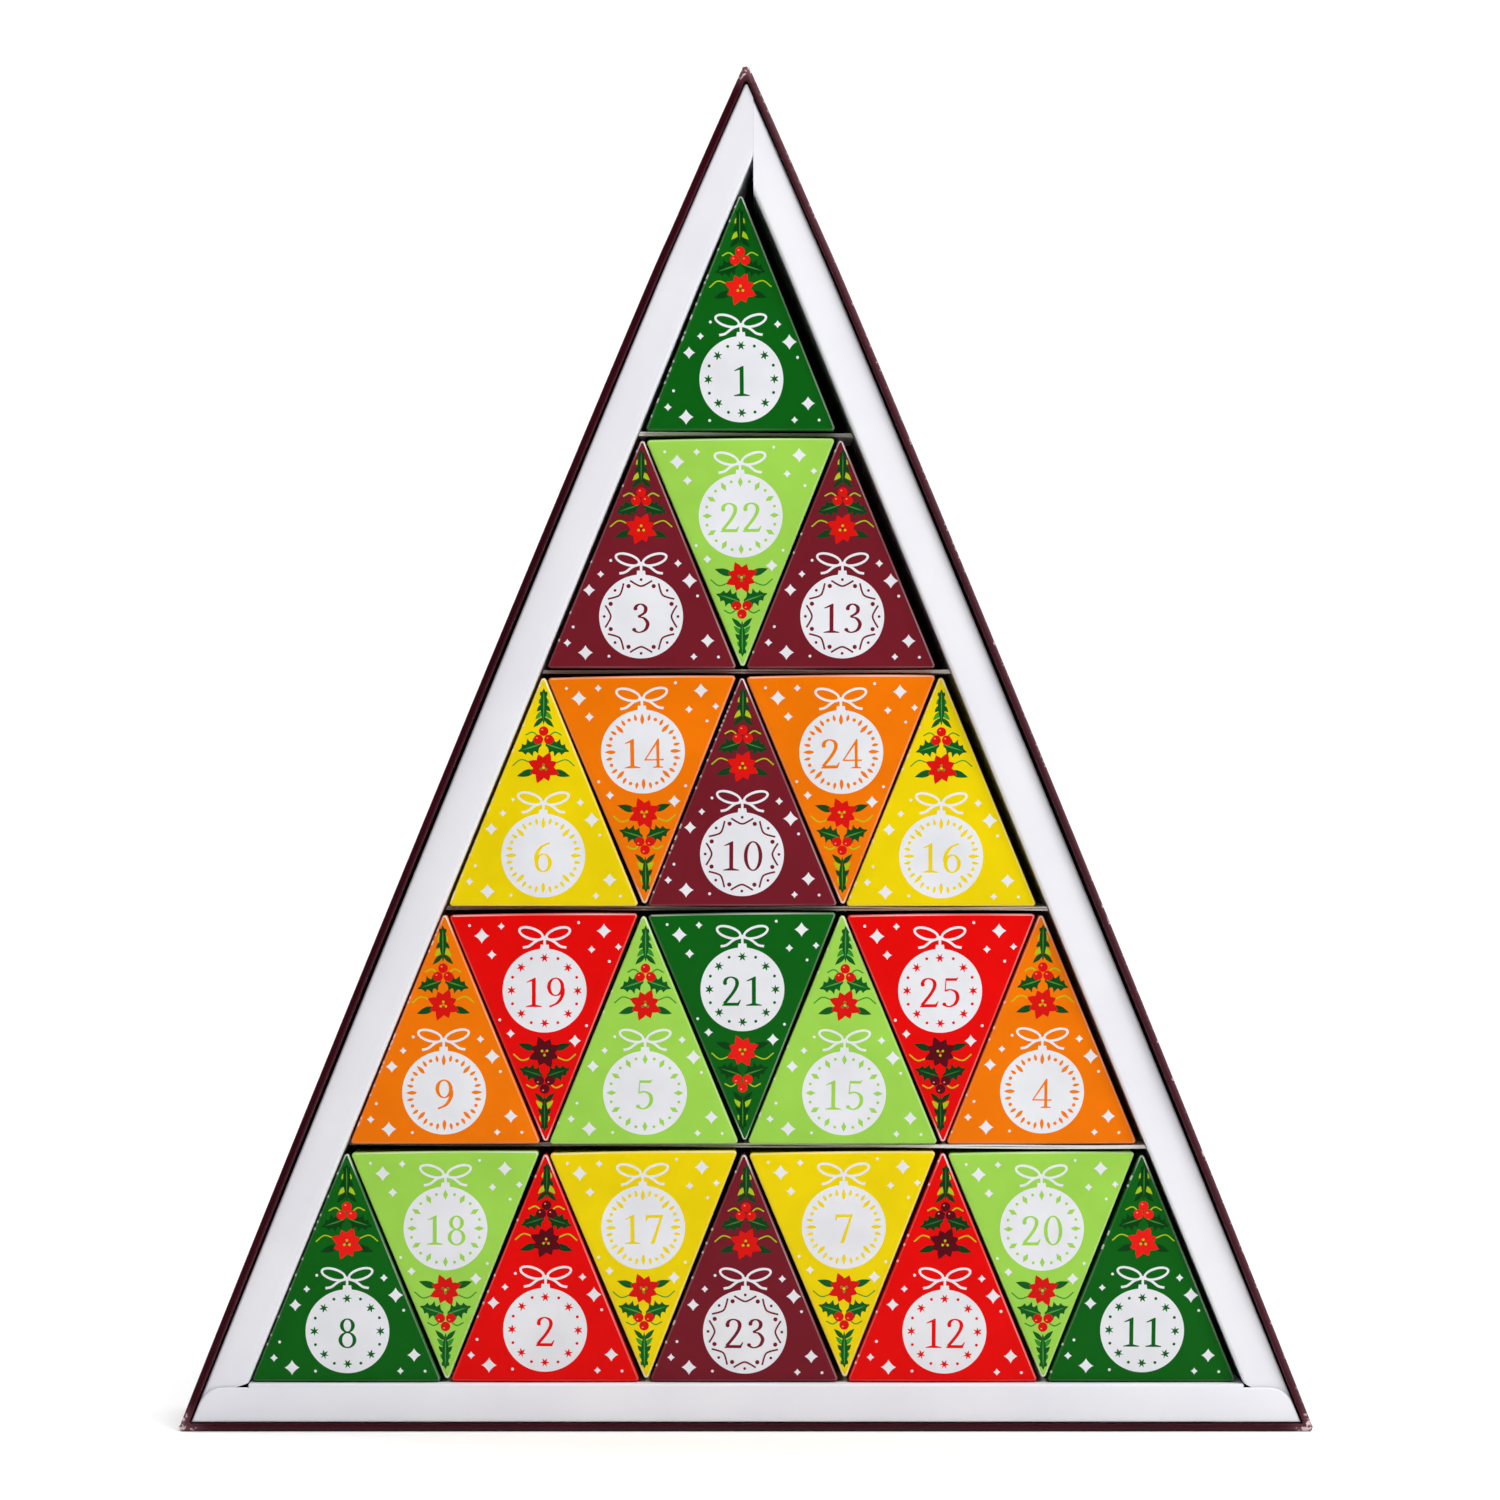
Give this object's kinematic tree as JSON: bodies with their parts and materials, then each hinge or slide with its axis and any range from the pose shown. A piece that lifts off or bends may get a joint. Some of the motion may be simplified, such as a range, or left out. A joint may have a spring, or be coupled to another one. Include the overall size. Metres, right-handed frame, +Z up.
{
  "type": "tea advent calendar",
  "caption": "Tree-shaped rigid tray with rows of numbered triangular cartons, each with a tear-open door and room for a tea bag.",
  "frame": {"origin": "middle of the base that the box stands on, at half its depth", "axes": "+Z up to the tip of the tree, -Y out of the open front, +X to the right as seen from the front"},
  "size_m": [0.3102, 0.0524, 0.3766],
  "materials": {
    "wrap_paper": "satin",
    "frame_card": "matte",
    "shelf_card": "matte",
    "carton_dark_green": "satin",
    "carton_lime": "satin",
    "carton_burgundy": "satin",
    "carton_orange": "satin",
    "carton_yellow": "satin",
    "carton_red": "satin",
    "tea_bag_mesh": "matte"
  },
  "bodies": {
    "box": {"case_tray": "wrap_paper", "frame_left": "frame_card", "frame_right": "frame_card", "frame_bottom": "frame_card", "shelf_1": "shelf_card", "shelf_2": "shelf_card", "shelf_3": "shelf_card", "shelf_4": "shelf_card"},
    "carton_01": {"carton_01": "carton_dark_green"},
    "door_01": {"door_01": "carton_dark_green"},
    "carton_02": {"carton_02": "carton_red"},
    "door_02": {"door_02": "carton_red"},
    "carton_03": {"carton_03": "carton_burgundy"},
    "door_03": {"door_03": "carton_burgundy"},
    "carton_04": {"carton_04": "carton_orange"},
    "door_04": {"door_04": "carton_orange"},
    "carton_05": {"carton_05": "carton_lime"},
    "door_05": {"door_05": "carton_lime"},
    "carton_06": {"carton_06": "carton_yellow"},
    "door_06": {"door_06": "carton_yellow"},
    "carton_07": {"carton_07": "carton_yellow"},
    "door_07": {"door_07": "carton_yellow"},
    "carton_08": {"carton_08": "carton_dark_green"},
    "door_08": {"door_08": "carton_dark_green"},
    "carton_09": {"carton_09": "carton_orange"},
    "door_09": {"door_09": "carton_orange"},
    "carton_10": {"carton_10": "carton_burgundy"},
    "door_10": {"door_10": "carton_burgundy"},
    "carton_11": {"carton_11": "carton_dark_green"},
    "door_11": {"door_11": "carton_dark_green"},
    "carton_12": {"carton_12": "carton_red"},
    "door_12": {"door_12": "carton_red"},
    "carton_13": {"carton_13": "carton_burgundy"},
    "door_13": {"door_13": "carton_burgundy"},
    "carton_14": {"carton_14": "carton_orange"},
    "door_14": {"door_14": "carton_orange"},
    "carton_15": {"carton_15": "carton_lime"},
    "door_15": {"door_15": "carton_lime"},
    "carton_16": {"carton_16": "carton_yellow"},
    "door_16": {"door_16": "carton_yellow"},
    "carton_17": {"carton_17": "carton_yellow"},
    "door_17": {"door_17": "carton_yellow"},
    "carton_18": {"carton_18": "carton_lime"},
    "door_18": {"door_18": "carton_lime"},
    "carton_19": {"carton_19": "carton_red"},
    "door_19": {"door_19": "carton_red"},
    "carton_20": {"carton_20": "carton_lime"},
    "door_20": {"door_20": "carton_lime"},
    "carton_21": {"carton_21": "carton_dark_green"},
    "door_21": {"door_21": "carton_dark_green"},
    "carton_22": {"carton_22": "carton_lime"},
    "door_22": {"door_22": "carton_lime"},
    "carton_23": {"carton_23": "carton_burgundy"},
    "door_23": {"door_23": "carton_burgundy"},
    "carton_24": {"carton_24": "carton_orange"},
    "door_24": {"door_24": "carton_orange"},
    "carton_25": {"carton_25": "carton_red"},
    "door_25": {"door_25": "carton_red"}
  },
  "joints": [
    {"name": "pull_01", "type": "slide", "parent": "box", "child": "carton_01", "axis": [0, -1, 0], "range_m": [0, 0.055]},
    {"name": "open_01", "type": "hinge", "parent": "carton_01", "child": "door_01", "pos_m": [0.0116, -0.0213, 0.30832], "axis": [-0.3795, 0, 0.9252], "range_deg": [0, 90]},
    {"name": "pull_02", "type": "slide", "parent": "box", "child": "carton_02", "axis": [0, -1, 0], "range_m": [0, 0.055]},
    {"name": "open_02", "type": "hinge", "parent": "carton_02", "child": "door_02", "pos_m": [-0.04246, -0.0213, 0.04519], "axis": [-0.3795, 0, 0.9252], "range_deg": [0, 90]},
    {"name": "pull_03", "type": "slide", "parent": "box", "child": "carton_03", "axis": [0, -1, 0], "range_m": [0, 0.055]},
    {"name": "open_03", "type": "hinge", "parent": "carton_03", "child": "door_03", "pos_m": [-0.01566, -0.0213, 0.24254], "axis": [-0.3795, 0, 0.9252], "range_deg": [0, 90]},
    {"name": "pull_04", "type": "slide", "parent": "box", "child": "carton_04", "axis": [0, -1, 0], "range_m": [0, 0.055]},
    {"name": "open_04", "type": "hinge", "parent": "carton_04", "child": "door_04", "pos_m": [0.09481, -0.0213, 0.11097], "axis": [-0.3795, 0, 0.9252], "range_deg": [0, 90]},
    {"name": "pull_05", "type": "slide", "parent": "box", "child": "carton_05", "axis": [0, -1, 0], "range_m": [0, 0.055]},
    {"name": "open_05", "type": "hinge", "parent": "carton_05", "child": "door_05", "pos_m": [-0.01519, -0.0213, 0.11097], "axis": [-0.3795, 0, 0.9252], "range_deg": [0, 90]},
    {"name": "pull_06", "type": "slide", "parent": "box", "child": "carton_06", "axis": [0, -1, 0], "range_m": [0, 0.055]},
    {"name": "open_06", "type": "hinge", "parent": "carton_06", "child": "door_06", "pos_m": [-0.04293, -0.0213, 0.17676], "axis": [-0.3795, 0, 0.9252], "range_deg": [0, 90]},
    {"name": "pull_07", "type": "slide", "parent": "box", "child": "carton_07", "axis": [0, -1, 0], "range_m": [0, 0.055]},
    {"name": "open_07", "type": "hinge", "parent": "carton_07", "child": "door_07", "pos_m": [0.02694, -0.0213, 0.07713], "axis": [-1, 0, 0], "range_deg": [0, 90]},
    {"name": "pull_08", "type": "slide", "parent": "box", "child": "carton_08", "axis": [0, -1, 0], "range_m": [0, 0.055]},
    {"name": "open_08", "type": "hinge", "parent": "carton_08", "child": "door_08", "pos_m": [-0.09746, -0.0213, 0.04519], "axis": [-0.3795, 0, 0.9252], "range_deg": [0, 90]},
    {"name": "pull_09", "type": "slide", "parent": "box", "child": "carton_09", "axis": [0, -1, 0], "range_m": [0, 0.055]},
    {"name": "open_09", "type": "hinge", "parent": "carton_09", "child": "door_09", "pos_m": [-0.07019, -0.0213, 0.11097], "axis": [-0.3795, 0, 0.9252], "range_deg": [0, 90]},
    {"name": "pull_10", "type": "slide", "parent": "box", "child": "carton_10", "axis": [0, -1, 0], "range_m": [0, 0.055]},
    {"name": "open_10", "type": "hinge", "parent": "carton_10", "child": "door_10", "pos_m": [0.01207, -0.0213, 0.17676], "axis": [-0.3795, 0, 0.9252], "range_deg": [0, 90]},
    {"name": "pull_11", "type": "slide", "parent": "box", "child": "carton_11", "axis": [0, -1, 0], "range_m": [0, 0.055]},
    {"name": "open_11", "type": "hinge", "parent": "carton_11", "child": "door_11", "pos_m": [0.12254, -0.0213, 0.04519], "axis": [-0.3795, 0, 0.9252], "range_deg": [0, 90]},
    {"name": "pull_12", "type": "slide", "parent": "box", "child": "carton_12", "axis": [0, -1, 0], "range_m": [0, 0.055]},
    {"name": "open_12", "type": "hinge", "parent": "carton_12", "child": "door_12", "pos_m": [0.06754, -0.0213, 0.04519], "axis": [-0.3795, 0, 0.9252], "range_deg": [0, 90]},
    {"name": "pull_13", "type": "slide", "parent": "box", "child": "carton_13", "axis": [0, -1, 0], "range_m": [0, 0.055]},
    {"name": "open_13", "type": "hinge", "parent": "carton_13", "child": "door_13", "pos_m": [0.03934, -0.0213, 0.24254], "axis": [-0.3795, 0, 0.9252], "range_deg": [0, 90]},
    {"name": "pull_14", "type": "slide", "parent": "box", "child": "carton_14", "axis": [0, -1, 0], "range_m": [0, 0.055]},
    {"name": "open_14", "type": "hinge", "parent": "carton_14", "child": "door_14", "pos_m": [-0.02853, -0.0213, 0.2087], "axis": [-1, 0, 0], "range_deg": [0, 90]},
    {"name": "pull_15", "type": "slide", "parent": "box", "child": "carton_15", "axis": [0, -1, 0], "range_m": [0, 0.055]},
    {"name": "open_15", "type": "hinge", "parent": "carton_15", "child": "door_15", "pos_m": [0.03981, -0.0213, 0.11097], "axis": [-0.3795, 0, 0.9252], "range_deg": [0, 90]},
    {"name": "pull_16", "type": "slide", "parent": "box", "child": "carton_16", "axis": [0, -1, 0], "range_m": [0, 0.055]},
    {"name": "open_16", "type": "hinge", "parent": "carton_16", "child": "door_16", "pos_m": [0.06707, -0.0213, 0.17676], "axis": [-0.3795, 0, 0.9252], "range_deg": [0, 90]},
    {"name": "pull_17", "type": "slide", "parent": "box", "child": "carton_17", "axis": [0, -1, 0], "range_m": [0, 0.055]},
    {"name": "open_17", "type": "hinge", "parent": "carton_17", "child": "door_17", "pos_m": [-0.02806, -0.0213, 0.07713], "axis": [-1, 0, 0], "range_deg": [0, 90]},
    {"name": "pull_18", "type": "slide", "parent": "box", "child": "carton_18", "axis": [0, -1, 0], "range_m": [0, 0.055]},
    {"name": "open_18", "type": "hinge", "parent": "carton_18", "child": "door_18", "pos_m": [-0.08306, -0.0213, 0.07713], "axis": [-1, 0, 0], "range_deg": [0, 90]},
    {"name": "pull_19", "type": "slide", "parent": "box", "child": "carton_19", "axis": [0, -1, 0], "range_m": [0, 0.055]},
    {"name": "open_19", "type": "hinge", "parent": "carton_19", "child": "door_19", "pos_m": [-0.05579, -0.0213, 0.14291], "axis": [-1, 0, 0], "range_deg": [0, 90]},
    {"name": "pull_20", "type": "slide", "parent": "box", "child": "carton_20", "axis": [0, -1, 0], "range_m": [0, 0.055]},
    {"name": "open_20", "type": "hinge", "parent": "carton_20", "child": "door_20", "pos_m": [0.08194, -0.0213, 0.07713], "axis": [-1, 0, 0], "range_deg": [0, 90]},
    {"name": "pull_21", "type": "slide", "parent": "box", "child": "carton_21", "axis": [0, -1, 0], "range_m": [0, 0.055]},
    {"name": "open_21", "type": "hinge", "parent": "carton_21", "child": "door_21", "pos_m": [-0.00079, -0.0213, 0.14291], "axis": [-1, 0, 0], "range_deg": [0, 90]},
    {"name": "pull_22", "type": "slide", "parent": "box", "child": "carton_22", "axis": [0, -1, 0], "range_m": [0, 0.055]},
    {"name": "open_22", "type": "hinge", "parent": "carton_22", "child": "door_22", "pos_m": [-0.00126, -0.0213, 0.27448], "axis": [-1, 0, 0], "range_deg": [0, 90]},
    {"name": "pull_23", "type": "slide", "parent": "box", "child": "carton_23", "axis": [0, -1, 0], "range_m": [0, 0.055]},
    {"name": "open_23", "type": "hinge", "parent": "carton_23", "child": "door_23", "pos_m": [0.01254, -0.0213, 0.04519], "axis": [-0.3795, 0, 0.9252], "range_deg": [0, 90]},
    {"name": "pull_24", "type": "slide", "parent": "box", "child": "carton_24", "axis": [0, -1, 0], "range_m": [0, 0.055]},
    {"name": "open_24", "type": "hinge", "parent": "carton_24", "child": "door_24", "pos_m": [0.02647, -0.0213, 0.2087], "axis": [-1, 0, 0], "range_deg": [0, 90]},
    {"name": "pull_25", "type": "slide", "parent": "box", "child": "carton_25", "axis": [0, -1, 0], "range_m": [0, 0.055]},
    {"name": "open_25", "type": "hinge", "parent": "carton_25", "child": "door_25", "pos_m": [0.05421, -0.0213, 0.14291], "axis": [-1, 0, 0], "range_deg": [0, 90]}
  ]
}
